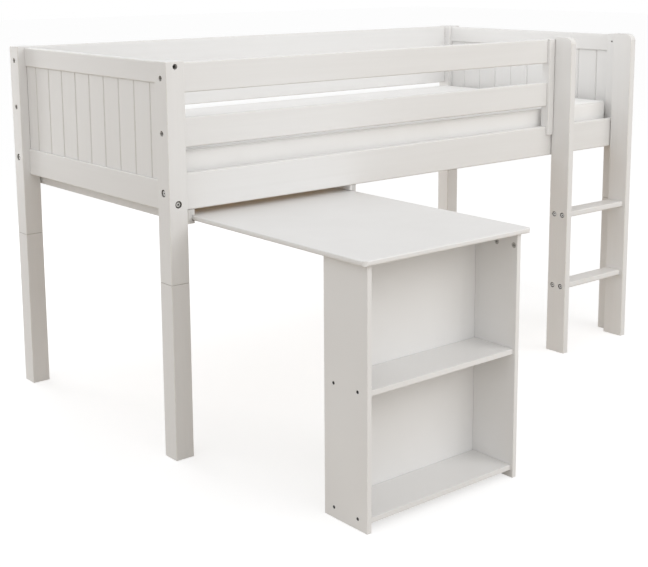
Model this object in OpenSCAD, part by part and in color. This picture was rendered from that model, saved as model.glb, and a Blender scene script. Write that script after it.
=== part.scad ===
// Cabin bed (mid sleeper) with a pull-out desk.
// The origin lies on the floor, on the axis of the front left post.
// +X runs along the bed to the right, +Y from the front to the rear, +Z up.
// The desk is drawn pulled out; it slides along +Y until its front meets the posts.

/* [Mattress] */
// Mattress length
mattress_l = 2000; // [1600:10:2200]
// Mattress width
mattress_w = 900; // [700:10:1200]
// Mattress thickness at its edges
mattress_h = 121; // [80:1:160]
// Corner radius of the mattress in plan
mattress_corner_r = 30; // [25:5:90]
// Radius of the mattress's upper and lower edges
mattress_edge_r = 14; // [8:1:30]
// Rise of the mattress's middle above its edges
mattress_crown = 10; // [1:1:15]
// How far its sides draw in between the corners
mattress_draw = 3; // [1:1:12]
// Gap between the mattress and the posts at each end
mattress_end_gap = 12; // [8:1:40]
// Gap between the mattress and the side rails
mattress_side_gap = 13.5; // [8:0.5:40]

/* [Posts] */
// Width and depth of a post
post_w = 63; // [56:1:80]
// Height of the joint between a post and its leg
leg_h = 544; // [350:1:650]
// Rounding of the posts' long edges
post_edge_r = 3; // [1:0.5:8]
// Rounding of the posts' and legs' end edges
post_end_r = 2.5; // [0.5:0.5:3]
// Diameter of the stud between a post and its leg
stud_d = 10; // [6:1:16]
// Depth of the stud in the post and in the leg
stud_depth = 45; // [25:5:80]

/* [Side rails] */
// Height of the side rails' lower edges above the floor
side_rail_z = 761; // [720:1:860]
// Height of a side rail's section
side_rail_h = 110; // [100:1:150]
// Thickness of the side rails and of the end rails
rail_t = 26; // [22:1:36]
// How far the side rails and guards stand back from the posts' faces
side_inset = 10.5; // [6:0.5:16]
// Rounding of the rails', guard boards' and rungs' edges
board_edge_r = 5; // [1:0.5:8]

/* [End panels] */
// How far the end rails stand back from the posts' faces
end_inset = 25; // [18:1:30]
// Height of the top rail's section
end_top_h = 65; // [50:1:80]
// How far the top rail lies below the posts' tops
end_top_drop = 3.5; // [0:0.5:30]
// Height of the bottom rail's section
end_bottom_h = 90.5; // [70:0.5:120]
// How far the bottom rail reaches below the side rails
end_bottom_drop = 5.5; // [0:0.5:20]
// Number of tongue-and-groove boards in a panel
board_count = 10; // [6:1:14]
// Thickness of a board
board_t = 12; // [10:0.5:16]
// How far the boards' faces stand back from the end rails' faces
board_recess = 6; // [3:0.5:8]
// Depth of the grooves in rails and posts that hold the boards
board_groove_d = 10; // [6:1:14]
// Play of the boards in their grooves
board_play = 0.2; // [0.1:0.05:0.3]
// Gap between the shoulders of two boards
board_gap = 0.2; // [0.1:0.05:0.5]
// Width cut off the first board of a panel
board_trim_first = 4.5; // [0:0.5:20]
// Width cut off the last board of a panel
board_trim_last = 15.5; // [0:0.5:20]
// Depth of the V joints on both faces of a board
v_depth = 3.5; // [1:0.5:4]
// Thickness of the tongue between two boards
tongue_t = 3.5; // [2:0.5:4]
// Length of the tongue
tongue_l = 6; // [3:0.5:8]

/* [Guards] */
// Thickness of the guard boards
guard_t = 24; // [20:1:32]
// Height of a front guard board
guard_board_h = 88.5; // [60:0.5:110]
// Gap between the side rail and the lower guard board
guard_gap = 76; // [40:1:95]
// Gap between the two front guard boards
guard_between = 72; // [40:1:95]
// How far the front guards lie below the posts' tops
guard_drop = 4; // [0:0.5:20]
// How far the rear guard lies below the posts' tops
guard_rear_drop = 1.5; // [0:0.5:20]
// Width of the upright that ends the front guard
upright_w = 30; // [26:1:45]
// Depth of the upright
upright_d = 35; // [32:1:60]
// How far the upright's lap reaches down over the side rail
lap_h = 32; // [24:1:60]

/* [Ladder] */
// Width of the ladder over its stiles
ladder_w = 382; // [320:1:500]
// Gap between the ladder and the front right post
ladder_gap = 7; // [5:1:40]
// Thickness of a stile
stile_t = 27; // [22:1:36]
// Depth of a stile from front to rear
stile_d = 85.5; // [70:0.5:110]
// How far the stiles rise above the posts
stile_rise = 4; // [0:1:40]
// Radius of a stile's upper front corner
stile_corner_r = 30; // [10:1:40]
// Rounding of the stiles' edges
stile_edge_r = 3; // [1:0.5:6]
// Gap between the stiles and the side rail, kept by spacers
ladder_standoff = 3; // [1:0.5:10]
// Thickness of a rung
rung_t = 21; // [18:1:30]
// Depth of a rung from front to rear
rung_d = 69; // [50:1:80]
// How far a rung stands forward of the stiles' rear edges
rung_rear_inset = 2.5; // [2:0.5:12]
// Height of the lower rung's underside
rung_z = 250; // [200:1:290]
// Height from one rung to the next
rung_pitch = 277; // [240:1:300]
// Distance between the two bolts at a rung's end
rung_bolt_spacing = 38; // [28:1:44]

/* [Slatted base] */
// Number of slats
slat_count = 14; // [8:1:20]
// Width of a slat
slat_w = 70; // [50:1:85]
// Thickness of a slat
slat_t = 18; // [14:1:24]
// Width of a ledger
ledger_w = 24; // [22:1:36]
// Height of a ledger
ledger_h = 28; // [20:1:32]
// Height of the ledgers' undersides above the side rails' lower edges
ledger_up = 11; // [8:1:16]
// Play between the slats' ends and the side rails
slat_play = 1.5; // [0.5:0.5:4]
// Number of screws in a ledger
ledger_screw_count = 6; // [4:1:9]

/* [Desk] */
// Width of the desk top
desk_w = 628; // [500:1:900]
// Depth of the desk top
desk_d = 880; // [820:5:900]
// Thickness of the desk top
desk_t = 15; // [14:0.5:20]
// How far the desk is pulled out, which is also its travel
desk_travel = 756; // [500:1:760]
// Rounding of the desk top's upper edges
desk_upper_r = 3; // [1:0.5:5]
// Rounding of the desk top's lower edges
desk_lower_r = 6; // [1:0.5:8]
// Corner radius of the desk top in plan
desk_corner_r = 17; // [5:1:40]
// Gap between the posts and the desk top's edge
desk_gap = 25; // [20:1:60]
// Width of a runner
runner_w = 27; // [25:1:40]
// Height of a runner
runner_h = 44; // [42:1:60]
// Thickness of a runner's lower lip
runner_lip = 8.25; // [5:0.25:9.5]
// Depth of a runner's groove
runner_groove_d = 11; // [8:0.5:12]
// Play of the desk top in the runners' grooves
runner_play = 0.75; // [0.5:0.05:1.5]
// How far the runners' ends stand back from the posts' faces
runner_inset = 15; // [12:1:17]

/* [Shelf unit] */
// Thickness of its panels
panel_t = 15; // [14:0.5:19]
// Depth of its side panels
unit_d = 174.5; // [150:0.5:260]
// How far the desk top overhangs the unit at the front
unit_setback = 18; // [8:1:40]
// Overhang of the desk top on the left
overhang_left = 25; // [22:1:40]
// Overhang of the desk top on the right
overhang_right = 26; // [20:1:40]
// How far the shelves stand back from the side panels' front edges
shelf_inset = 8; // [0:1:20]
// Height of the middle shelf's underside
middle_shelf_z = 373; // [250:1:450]
// Height of the bottom shelf's underside
bottom_shelf_z = 23; // [10:1:60]
// Distance between the two screws at a shelf's end
shelf_screw_spacing = 97; // [70:1:110]
// Distance of the front cam from the side panel's front edge
cam_inset = 13; // [11:1:30]
// Distance between a side panel's two cams
cam_spacing = 65; // [40:1:100]
// Distance of the cams below the desk top
cam_drop = 35; // [24:1:40]

/* [Fasteners] */
// Diameter of the large bolts' counterbores
counterbore_d = 22; // [18:1:24]
// Diameter of the large bolts' heads
bolt_head_d = 15; // [12:0.5:17]
// Thickness of the large bolts' heads
bolt_head_h = 5; // [3:0.5:7]
// How far the large heads lie below the surface
bolt_sink = 3; // [0:0.5:4]
// Diameter of the large bolts' shanks
bolt_d = 6; // [5:0.5:8]
// How deep the large bolts reach into the rails
bolt_reach = 55; // [40:5:90]
// Height of the side rails' bolts above the rails' lower edges
side_bolt_up = 55; // [50:1:60]
// Height of the end rails' bolts above the rails' lower edges
end_bolt_up = 27.5; // [18:0.5:30]
// Diameter of the sunk screws' holes
sink_d = 16; // [10:0.5:18]
// Depth of the sunk screws' holes
sink_depth = 14; // [8:1:20]
// Diameter of the sunk screws' heads
screw_head_d = 10; // [8:0.5:10]
// Thickness of the sunk screws' heads
screw_head_h = 4; // [2:0.5:6]
// Diameter of the sunk screws' shanks
screw_d = 5; // [4:0.5:6]
// How deep the sunk screws reach into a board
screw_reach = 45; // [30:5:70]
// Height of the end panels' top screws below the top rails' upper edges
end_screw_drop = 11.5; // [6:0.5:20]
// Diameter of a dowel
dowel_d = 8; // [6:1:10]
// Depth of a dowel in the post and in the rail
dowel_depth = 19; // [12:1:19]
// Distance of the dowels from the bolt of their joint
dowel_off = 30; // [24:1:33]
// Diameter of a barrel nut
barrel_d = 10; // [8:1:12]
// Length of a barrel nut
barrel_l = 14; // [10:1:14]
// Diameter of the rung bolts' heads
rung_head_d = 13.5; // [10:0.5:16]
// Diameter of the rung bolts' counterbores
rung_bore_d = 19.5; // [17:0.5:21]
// Diameter of a small countersunk screw's head
small_head_d = 8; // [6:0.5:9]
// Diameter of a small countersunk screw's shank
small_d = 4; // [3:0.5:4.5]
// Diameter of a cam
cam_d = 15; // [12:0.5:18]
// Thickness of a cam
cam_h = 12; // [8:0.5:12.5]
// Gap around a shank in its bore
bore_gap = 0.3; // [0.1:0.05:0.5]
// Gap between two parts that are drawn apart
clearance = 0.3; // [0.2:0.05:0.4]

/* [Hidden] */
$fn = 32;

// Cuts run this far past the surfaces that they open.
cut = 1;

// Faces of the frame.
bed_l = mattress_l + 2 * (post_w + mattress_end_gap);
bed_w = mattress_w + 2 * (side_inset + rail_t + mattress_side_gap);
left_face = -post_w / 2;
front_face = -post_w / 2;
right_face = left_face + bed_l;
rear_face = front_face + bed_w;
span_l = bed_l - 2 * post_w;
span_w = bed_w - 2 * post_w;
inner_face = post_w / 2;
post_top = side_rail_z + side_rail_h + guard_gap + 2 * guard_board_h + guard_between + guard_drop;

// Side rails and guards, at the front.
rail_front = front_face + side_inset;
rail_inner = rail_front + rail_t;
side_rail_top = side_rail_z + side_rail_h;
side_bolt_z = side_rail_z + side_bolt_up;
guard_top = post_top - guard_drop;
guard_upper_z = guard_top - guard_board_h;
guard_lower_z = side_rail_top + guard_gap;
guard_inner = rail_front + guard_t;
guard_rear_top = post_top - guard_rear_drop;

// End rails and boards, at the left.
end_rail_x = left_face + end_inset;
end_bottom_z = side_rail_z - end_bottom_drop;
end_bottom_top = end_bottom_z + end_bottom_h;
end_top_top = post_top - end_top_drop;
end_top_z = end_top_top - end_top_h;
board_x = end_rail_x + board_recess;
board_groove_t = board_t + 2 * board_play;
boards_w = span_w + 2 * (board_groove_d - board_play);
boards_front = inner_face - board_groove_d + board_play;
board_pitch = (boards_w + board_trim_first + board_trim_last + board_gap) / board_count;
board_w = board_pitch - board_gap;
board_z = end_bottom_top - board_groove_d + board_play;
board_l = end_top_z - end_bottom_top + 2 * (board_groove_d - board_play);
end_bolt_z = end_bottom_z + end_bolt_up;
end_screw_z = end_top_top - end_screw_drop;

// Ladder.
ladder_right = right_face - post_w - ladder_gap;
stile_right_x = ladder_right - stile_t;
stile_left_x = ladder_right - ladder_w;
stile_rear = rail_front - ladder_standoff;
stile_front = stile_rear - stile_d;
stile_top = post_top + stile_rise;
rung_x = stile_left_x + stile_t;
rung_l = ladder_w - 2 * stile_t;
rung_front = stile_rear - rung_rear_inset - rung_d;
rung_bolt_y = (stile_front + stile_rear) / 2;
rung_heights = [rung_z, rung_z + rung_pitch];
ladder_bolt_xs = [stile_left_x + stile_t / 2, stile_right_x + stile_t / 2];
ladder_bolt_drop = 15;
ladder_bolt_head_d = 13;
ladder_bolt_head_h = 4;
ladder_bolt_sink = 5;
ladder_bolt_bore_d = 16;
ladder_bolt_reach = 45;
ladder_spacer_d = 18;
ladder_bolt_z = side_rail_top - ladder_bolt_drop;

// The guard's upright stands against the ladder.
upright_x = stile_left_x - upright_w;
lap_z = side_rail_top - lap_h;
lap_screw_z = side_rail_top - lap_h / 2;
lap_screw_skin = 2;
lap_screw_reach = side_inset - lap_screw_skin;
guard_l = upright_x - inner_face;
guard_screw_y = (rail_front + guard_inner) / 2;

// Slatted base.
ledger_z = side_rail_z + ledger_up;
ledger_top = ledger_z + ledger_h;
ledger_end_gap = 2;
slat_top = ledger_top + slat_t;
slat_l = bed_w - 2 * (side_inset + rail_t + slat_play);
slat_edge_r = 3;
slat_end_gap = 20;
slat_first_x = inner_face + slat_end_gap;
slat_pitch = (span_l - 2 * slat_end_gap - slat_w) / (slat_count - 1);
slat_screw_reach = 14;
slat_screw_y = rail_inner + ledger_w / 2;
ledger_screw_reach = 16;
ledger_screw_z = ledger_z + ledger_h / 2;
ledger_screw_end = 90;
ledger_screw_pitch = (span_l - 2 * ledger_screw_end) / (ledger_screw_count - 1);

// Runners and desk.
runner_z = side_rail_z - runner_h;
runner_groove_z = runner_z + runner_lip;
runner_groove_h = desk_t + 2 * runner_play;
runner_l = bed_w - 2 * runner_inset;
runner_end_r = 6;
runner_edge_r = 2;
desk_left = inner_face + desk_gap;
desk_right = desk_left + desk_w;
runner_left_x = desk_left + runner_groove_d - clearance - runner_w;
runner_right_x = desk_right - runner_groove_d + clearance;
runner_screw_x = 8;
runner_screw_bore = 24;
runner_screw_reach = 14;
desk_z = runner_groove_z + runner_play;
desk_front = front_face - desk_travel;
unit_left = desk_left + overhang_left;
unit_right = desk_right - overhang_right;
unit_front = desk_front + unit_setback;
unit_rear = unit_front + unit_d;
unit_w = unit_right - unit_left;
shelf_w = unit_w - 2 * panel_t;
shelf_front = unit_front + shelf_inset;
shelf_d = unit_d - shelf_inset - panel_t;
shelf_heights = [middle_shelf_z, bottom_shelf_z];
panel_edge_r = 1;
shelf_screw_head_d = 9;
shelf_screw_head_h = 5;
shelf_screw_d = 5;
shelf_screw_reach = 40;
cam_bolt_d = 7;
cam_bolt_in_top = 11;

// Mattress, a little above the slats.
mattress_z = slat_top + clearance;
mattress_x = (left_face + right_face) / 2;
mattress_y = (front_face + rear_face) / 2;

painted = [0.93, 0.93, 0.91];
board_white = [0.95, 0.95, 0.94];
steel = [0.62, 0.62, 0.62];
dark_steel = [0.2, 0.2, 0.2];
bare_wood = [0.85, 0.72, 0.52];
cloth = [0.97, 0.97, 0.96];

// ---------- Shapes that repeat ----------

// A rectangle with round corners, its lower left corner at the origin.
module rounded_rect(w, h, r) {
    translate([r, 0]) square([w - 2 * r, h]);
    translate([0, r]) square([w, h - 2 * r]);
    for (x = [r, w - r])
        for (y = [r, h - r])
            translate([x, y]) circle(r);
}

// A bar along X with its four long edges rounded.
module bar_x(l, w, h, r) {
    rotate([90, 0, 90]) linear_extrude(l) rounded_rect(w, h, r);
}

// A bar along Y with its four long edges rounded.
module bar_y(w, l, h, r) {
    translate([0, l, 0]) rotate([90, 0, 0]) linear_extrude(l) rounded_rect(w, h, r);
}

// A bar along Z with its four long edges rounded.
module bar_z(w, d, h, r) {
    linear_extrude(h) rounded_rect(w, d, r);
}

// A flat plate with round corners in plan and eased upper and lower edges.
module eased_plate(w, d, h, corner_r, r) {
    intersection() {
        bar_z(w, d, h, corner_r);
        bar_x(w, d, h, r);
        bar_y(w, d, h, r);
    }
}

// An upright block with rounded long edges and eased ends, centred on the Z axis.
module eased_column(w, h, r, end_r) {
    translate([-w / 2, -w / 2, 0]) eased_plate(w, w, h, r, end_r);
}

// A cylinder along +X that starts at the origin.
module rod_x(d, l) {
    rotate([0, 90, 0]) cylinder(d = d, h = l);
}

// A cylinder along +Y that starts at the origin.
module rod_y(d, l) {
    rotate([-90, 0, 0]) cylinder(d = d, h = l);
}

// A bolt along +Z. Its head stands on the plane z = 0 and has a hexagon socket.
module socket_bolt(head_d, head_h, shank_d, l) {
    difference() {
        union() {
            translate([0, 0, -head_h]) cylinder(d = head_d, h = head_h);
            cylinder(d = shank_d, h = l);
        }
        translate([0, 0, -head_h - cut])
            cylinder(d = shank_d * 0.9, h = head_h * 0.6 + cut, $fn = 6);
    }
}

// A countersunk screw along +Z with its flat head flush at z = 0.
module flat_screw(l) {
    head_h = (small_head_d - small_d) / 2;
    cylinder(d1 = small_head_d, d2 = small_d, h = head_h);
    cylinder(d = small_d, h = l);
}

// The hole for a countersunk screw, open at z = 0.
module flat_screw_hole(l) {
    gap = 2 * bore_gap;
    head_h = (small_head_d - small_d) / 2;
    cylinder(d1 = small_head_d + gap, d2 = small_d + gap, h = head_h);
    translate([0, 0, -cut]) cylinder(d = small_head_d + gap, h = cut);
    cylinder(d = small_d + gap, h = l + bore_gap);
}

// Turns a shape drawn along +Z so that it runs along +X, -X, +Y or -Y.
module along_x() { rotate([0, 90, 0]) children(); }
module back_along_x() { rotate([0, -90, 0]) children(); }
module along_y() { rotate([-90, 0, 0]) children(); }
module back_along_y() { rotate([90, 0, 0]) children(); }

// Mirrors what is drawn for the front left corner to the other ends and sides.
module at_right() { translate([bed_l - post_w, 0, 0]) mirror([1, 0, 0]) children(); }
module at_rear() { translate([0, bed_w - post_w, 0]) mirror([0, 1, 0]) children(); }
module at_left_corners() { children(); at_rear() children(); }
module at_all_corners() { at_left_corners() children(); at_right() at_left_corners() children(); }

// ---------- Fasteners of a corner ----------

// Where the side rail's bolt, the guard's screws and the end panel's fasteners start.
module side_bolt_place() { translate([left_face, 0, side_bolt_z]) along_x() children(); }
module end_bolt_place() { translate([0, front_face, end_bolt_z]) along_y() children(); }
module end_screw_place() { translate([0, front_face, end_screw_z]) along_y() children(); }
module guard_screw_places(heights) {
    for (z = heights) translate([left_face, 0, z]) along_x() children();
}
guard_screw_heights = [guard_upper_z + guard_board_h / 2, guard_lower_z + guard_board_h / 2];

// The large bolt, and its bore with the counterbore at the post's face.
module large_bolt() {
    translate([0, 0, bolt_sink + bolt_head_h])
        socket_bolt(bolt_head_d, bolt_head_h, bolt_d, post_w - bolt_sink - bolt_head_h + bolt_reach);
}
module large_bolt_hole() {
    translate([0, 0, -cut]) cylinder(d = counterbore_d, h = bolt_sink + bolt_head_h + cut);
    cylinder(d = bolt_d + 2 * bore_gap, h = post_w + bolt_reach + cut);
}

// The sunk screw, and its deep hole.
module sunk_screw() {
    translate([0, 0, sink_depth])
        socket_bolt(screw_head_d, screw_head_h, screw_d, post_w - sink_depth + screw_reach);
}
module sunk_screw_hole() {
    translate([0, 0, -cut]) cylinder(d = sink_d, h = sink_depth + cut);
    cylinder(d = screw_d + 2 * bore_gap, h = post_w + screw_reach + cut);
}

// Dowels of the joints at the front left corner, longer by `extra` at both ends.
module corner_dowels(d, extra) {
    dowel_l = 2 * (dowel_depth + extra);
    for (z = [side_bolt_z - dowel_off, side_bolt_z + dowel_off])
        translate([inner_face - dowel_l / 2, rail_front + rail_t / 2, z]) rod_x(d, dowel_l);
    translate([end_rail_x + rail_t / 2, inner_face - dowel_l / 2, end_bolt_z + dowel_off])
        rod_y(d, dowel_l);
}
module corner_dowel_holes() { corner_dowels(dowel_d, clearance); }

// ---------- Posts and legs ----------

// The front left post. The others mirror it.
module post(has_guard) {
    color(painted) difference() {
        translate([0, 0, leg_h]) eased_column(post_w, post_top - leg_h, post_edge_r, post_end_r);
        translate([0, 0, leg_h - cut]) cylinder(d = stud_d + 2 * bore_gap, h = stud_depth + clearance + cut);
        side_bolt_place() large_bolt_hole();
        end_bolt_place() large_bolt_hole();
        end_screw_place() sunk_screw_hole();
        if (has_guard) guard_screw_places(guard_screw_heights) sunk_screw_hole();
        corner_dowel_holes();
        translate([board_x - board_play, inner_face - board_groove_d, end_bottom_top - board_groove_d])
            cube([board_groove_t, board_groove_d + cut, end_top_z - end_bottom_top + 2 * board_groove_d]);
    }
}

// A spare pilot hole in the front right post, for a guard board at the other end.
spare_hole_d = 6.5;
spare_hole_depth = 12;
spare_hole_y = 9;
spare_hole_drop = 30;

module post_front_left() { post(true); }
module post_front_right() {
    difference() {
        at_right() post(false);
        translate([right_face - post_w - cut, spare_hole_y, post_top - spare_hole_drop])
            rod_x(spare_hole_d, spare_hole_depth + cut);
    }
}
module post_rear_left() { at_rear() post(true); }
module post_rear_right() { at_right() at_rear() post(true); }

module leg() {
    color(painted) difference() {
        eased_column(post_w, leg_h, post_edge_r, post_end_r);
        translate([0, 0, leg_h - stud_depth - clearance])
            cylinder(d = stud_d + 2 * bore_gap, h = stud_depth + clearance + cut);
    }
}
module leg_front_left() { leg(); }
module leg_front_right() { at_right() leg(); }
module leg_rear_left() { at_rear() leg(); }
module leg_rear_right() { at_right() at_rear() leg(); }

module leg_studs() {
    color(steel) at_all_corners()
        translate([0, 0, leg_h - stud_depth]) cylinder(d = stud_d, h = 2 * stud_depth);
}

// ---------- Side rails ----------

// Depth of the barrel nuts' holes from the rails' inner faces.
barrel_hole_d = barrel_l + 2 * clearance;
barrel_x = inner_face + bolt_reach - barrel_d / 2 - 2;

module barrel_nut_place() { translate([barrel_x, rail_inner, side_bolt_z]) back_along_y() children(); }

// Screws that hold a ledger to its rail run from the ledger's inner face.
module ledger_screw_places() {
    for (i = [0 : ledger_screw_count - 1])
        translate([inner_face + ledger_screw_end + i * ledger_screw_pitch, rail_inner + ledger_w,
            ledger_screw_z])
            back_along_y() children();
}

// Screws that hold the runners run up into the side rails.
module runner_screw_places() {
    for (x = [runner_left_x + runner_screw_x, runner_right_x + runner_w - runner_screw_x])
        translate([x, rail_front + rail_t / 2, runner_z]) children();
}
module runner_screw() {
    translate([0, 0, runner_screw_bore])
        socket_bolt(small_head_d, screw_head_h, small_d, runner_h - runner_screw_bore + runner_screw_reach);
}
module runner_screw_hole() {
    translate([0, 0, -cut]) cylinder(d = small_head_d + 2, h = runner_screw_bore + cut);
    cylinder(d = small_d + 2 * bore_gap, h = runner_h + runner_screw_reach + cut);
}

// The front side rail, without the holes that only the front has.
module side_rail() {
    color(painted) difference() {
        translate([inner_face, rail_front, side_rail_z]) bar_x(span_l, rail_t, side_rail_h, board_edge_r);
        side_bolt_place() large_bolt_hole();
        at_right() side_bolt_place() large_bolt_hole();
        corner_dowel_holes();
        at_right() corner_dowel_holes();
        for (right = [0, 1])
            barrel_end(right) barrel_nut_place()
                translate([0, 0, -cut]) cylinder(d = barrel_d + 2 * bore_gap, h = barrel_hole_d + cut);
        ledger_screw_places() flat_screw_hole(ledger_w + ledger_screw_reach);
        runner_screw_places() runner_screw_hole();
    }
}
module barrel_end(right) {
    if (right == 1) at_right() children();
    else children();
}

// The ladder's bolts and the lap's screw run forward from the front rail's inner face.
module ladder_bolt_places() {
    for (x = ladder_bolt_xs) translate([x, rail_inner, ladder_bolt_z]) back_along_y() children();
}
module ladder_bolt() {
    translate([0, 0, ladder_bolt_sink])
        socket_bolt(ladder_bolt_head_d, ladder_bolt_head_h, bolt_d,
            rail_t - ladder_bolt_sink + ladder_bolt_reach);
}
module ladder_bolt_hole() {
    translate([0, 0, -cut]) cylinder(d = ladder_bolt_bore_d, h = ladder_bolt_sink + cut);
    cylinder(d = bolt_d + 2 * bore_gap, h = rail_t + ladder_bolt_reach + cut);
}
module lap_screw_place() {
    translate([upright_x + upright_w / 2, rail_inner, lap_screw_z]) back_along_y() children();
}

module side_rail_front() {
    color(painted) difference() {
        side_rail();
        ladder_bolt_places() ladder_bolt_hole();
        lap_screw_place() flat_screw_hole(rail_t + lap_screw_reach);
    }
}
module side_rail_rear() { at_rear() side_rail(); }

// ---------- End panels ----------

module end_rail(z, h, groove_z) {
    difference() {
        translate([end_rail_x, inner_face, z]) bar_y(rail_t, span_w, h, board_edge_r);
        translate([board_x - board_play, inner_face - cut, groove_z])
            cube([board_groove_t, span_w + 2 * cut, board_groove_d + cut]);
    }
}
module end_top_rail() {
    color(painted) difference() {
        end_rail(end_top_z, end_top_h, end_top_z - cut);
        at_left_corners() end_screw_place() sunk_screw_hole();
    }
}
module end_bottom_rail() {
    color(painted) difference() {
        end_rail(end_bottom_z, end_bottom_h, end_bottom_top - board_groove_d);
        at_left_corners() {
            end_bolt_place() large_bolt_hole();
            corner_dowel_holes();
        }
    }
}

// Section of a board: V joints on both faces, a tongue at one edge, a groove at the other.
module board_section(has_tongue) {
    v = v_depth;
    t = board_t;
    w = board_w;
    difference() {
        union() {
            polygon([[v, 0], [t - v, 0], [t, v], [t, w - v], [t - v, w], [v, w], [0, w - v], [0, v]]);
            if (has_tongue)
                translate([(t - tongue_t) / 2, w - v]) square([tongue_t, tongue_l + v]);
        }
        translate([(t - tongue_t) / 2 - board_play, -cut])
            square([tongue_t + 2 * board_play, tongue_l + clearance + cut]);
    }
}
// The outermost boards are cut to the panel's width.
module end_boards() {
    color(board_white) intersection() {
        for (i = [0 : board_count - 1])
            translate([board_x, boards_front - board_trim_first + i * board_pitch, board_z])
                linear_extrude(board_l) board_section(i < board_count - 1);
        translate([board_x, boards_front, board_z]) cube([board_t, boards_w, board_l]);
    }
}
// Turns what is drawn for the left end half round, to the right end.
module at_far_end() {
    translate([bed_l - post_w, bed_w - post_w, 0]) rotate(180) children();
}

module end_left_top_rail() { end_top_rail(); }
module end_left_bottom_rail() { end_bottom_rail(); }
module end_left_boards() { end_boards(); }
module end_right_top_rail() { at_right() end_top_rail(); }
module end_right_bottom_rail() { at_right() end_bottom_rail(); }
module end_right_boards() { at_far_end() end_boards(); }

// ---------- Guards ----------

// Screws that hold the upright to the guard boards, from its right face.
module upright_screw_places() {
    for (z = guard_screw_heights)
        translate([upright_x + upright_w, guard_screw_y, z]) back_along_x() children();
}

module guard_board(z, l, h) {
    translate([inner_face, rail_front, z]) bar_x(l, guard_t, h, board_edge_r);
}
module guard_front(z) {
    color(painted) difference() {
        guard_board(z, guard_l, guard_board_h);
        guard_screw_places(guard_screw_heights) sunk_screw_hole();
        upright_screw_places() flat_screw_hole(upright_w + screw_reach);
    }
}
module guard_front_upper() { guard_front(guard_upper_z); }
module guard_front_lower() { guard_front(guard_lower_z); }

// The upright stands on the side rail and laps over its face.
module guard_upright() {
    color(painted) difference() {
        translate([upright_x, front_face, lap_z])
            eased_plate(upright_w, upright_d, guard_top - lap_z, board_edge_r / 2, post_end_r);
        translate([upright_x - cut, rail_front, lap_z - cut])
            cube([upright_w + 2 * cut, upright_d, side_rail_top - lap_z + cut]);
        upright_screw_places() flat_screw_hole(upright_w + screw_reach);
        lap_screw_place() flat_screw_hole(rail_t + lap_screw_reach);
    }
}

module guard_rear() {
    color(painted) at_rear() difference() {
        guard_board(guard_lower_z, span_l, guard_rear_top - guard_lower_z);
        guard_screw_places(guard_screw_heights) sunk_screw_hole();
        at_right() guard_screw_places(guard_screw_heights) sunk_screw_hole();
    }
}

// ---------- Ladder ----------

// Bolts at the left ends of the rungs, which start at the left stile's outer face.
module rung_bolt_places() {
    for (z = rung_heights)
        for (side = [-1, 1])
            translate([stile_left_x, rung_bolt_y + side * rung_bolt_spacing / 2, z + rung_t / 2])
                along_x() children();
}
// Mirrors the ladder's left stile to the right one.
module at_ladder_right() {
    translate([2 * stile_left_x + ladder_w, 0, 0]) mirror([1, 0, 0]) children();
}
module rung_bolt() {
    translate([0, 0, bolt_sink + bolt_head_h])
        socket_bolt(rung_head_d, bolt_head_h, bolt_d, stile_t - bolt_sink - bolt_head_h + bolt_reach);
}
module rung_bolt_hole() {
    translate([0, 0, -cut]) cylinder(d = rung_bore_d, h = bolt_sink + bolt_head_h + cut);
    cylinder(d = bolt_d + 2 * bore_gap, h = stile_t + bolt_reach + cut);
}

// Outline of a stile seen from the side, with its round upper front corner.
module stile_outline() {
    r = stile_corner_r;
    square([stile_d, stile_top - r]);
    translate([r, 0]) square([stile_d - r, stile_top]);
    translate([r, stile_top - r]) circle(r, $fn = 64);
}
module stile() {
    color(painted) difference() {
        intersection() {
            translate([stile_left_x, stile_front, 0]) rotate([90, 0, 90])
            linear_extrude(stile_t) stile_outline();
            translate([stile_left_x, stile_front, 0]) bar_z(stile_t, stile_d, stile_top, stile_edge_r);
        }
        rung_bolt_places() rung_bolt_hole();
        translate([ladder_bolt_xs[0], rail_inner, ladder_bolt_z]) back_along_y() ladder_bolt_hole();
    }
}
module ladder_stile_left() { stile(); }
module ladder_stile_right() { at_ladder_right() stile(); }

module rung(z) {
    color(painted) difference() {
        translate([rung_x, rung_front, z]) bar_x(rung_l, rung_d, rung_t, board_edge_r);
        rung_bolt_places() rung_bolt_hole();
        at_ladder_right() rung_bolt_places() rung_bolt_hole();
    }
}
module ladder_rung_upper() { rung(rung_heights[1]); }
module ladder_rung_lower() { rung(rung_heights[0]); }

// ---------- Slatted base ----------

module slat_xs() {
    for (i = [0 : slat_count - 1]) translate([slat_first_x + i * slat_pitch, 0, 0]) children();
}
module slat_screw_places() {
    slat_xs() translate([slat_w / 2, slat_screw_y, slat_top]) mirror([0, 0, 1]) children();
}
module ledger() {
    color(bare_wood) difference() {
        translate([inner_face + ledger_end_gap, rail_inner, ledger_z])
            cube([span_l - 2 * ledger_end_gap, ledger_w, ledger_h]);
        ledger_screw_places() flat_screw_hole(ledger_w + ledger_screw_reach);
        slat_screw_places() flat_screw_hole(slat_t + slat_screw_reach);
    }
}
module ledger_front() { ledger(); }
module ledger_rear() { at_rear() ledger(); }

module slats() {
    color(bare_wood) difference() {
        slat_xs() translate([0, rail_inner + slat_play, ledger_top])
            bar_y(slat_w, slat_l, slat_t, slat_edge_r);
        slat_screw_places() flat_screw_hole(slat_t + slat_screw_reach);
        at_rear() slat_screw_places() flat_screw_hole(slat_t + slat_screw_reach);
    }
}

// ---------- Runners ----------

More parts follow.
